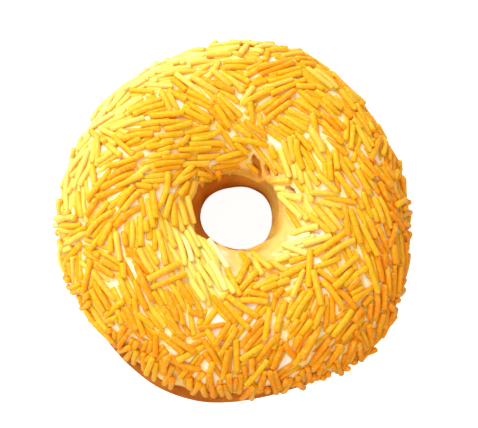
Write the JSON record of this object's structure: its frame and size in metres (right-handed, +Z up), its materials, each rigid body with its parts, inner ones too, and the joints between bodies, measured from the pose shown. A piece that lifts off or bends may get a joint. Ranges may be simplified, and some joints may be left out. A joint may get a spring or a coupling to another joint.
{
  "type": "sprinkle frosted doughnut",
  "caption": "Ring doughnut with a browned crust, its top covered by icing and a thick coat of yellow sugar strands.",
  "frame": {"origin": "middle of the doughnut's bounding box, on the surface that it stands on", "axes": "+Z up through the ring, +Y to the back, +X to the right"},
  "size_m": [0.0882, 0.0924, 0.0336],
  "materials": {
    "crust": "browned fried dough, satin",
    "coat": "yellow sugar strands in white icing, satin to glossy"
  },
  "bodies": {
    "root": {"dough": "crust", "frosting": "coat"}
  },
  "joints": []
}
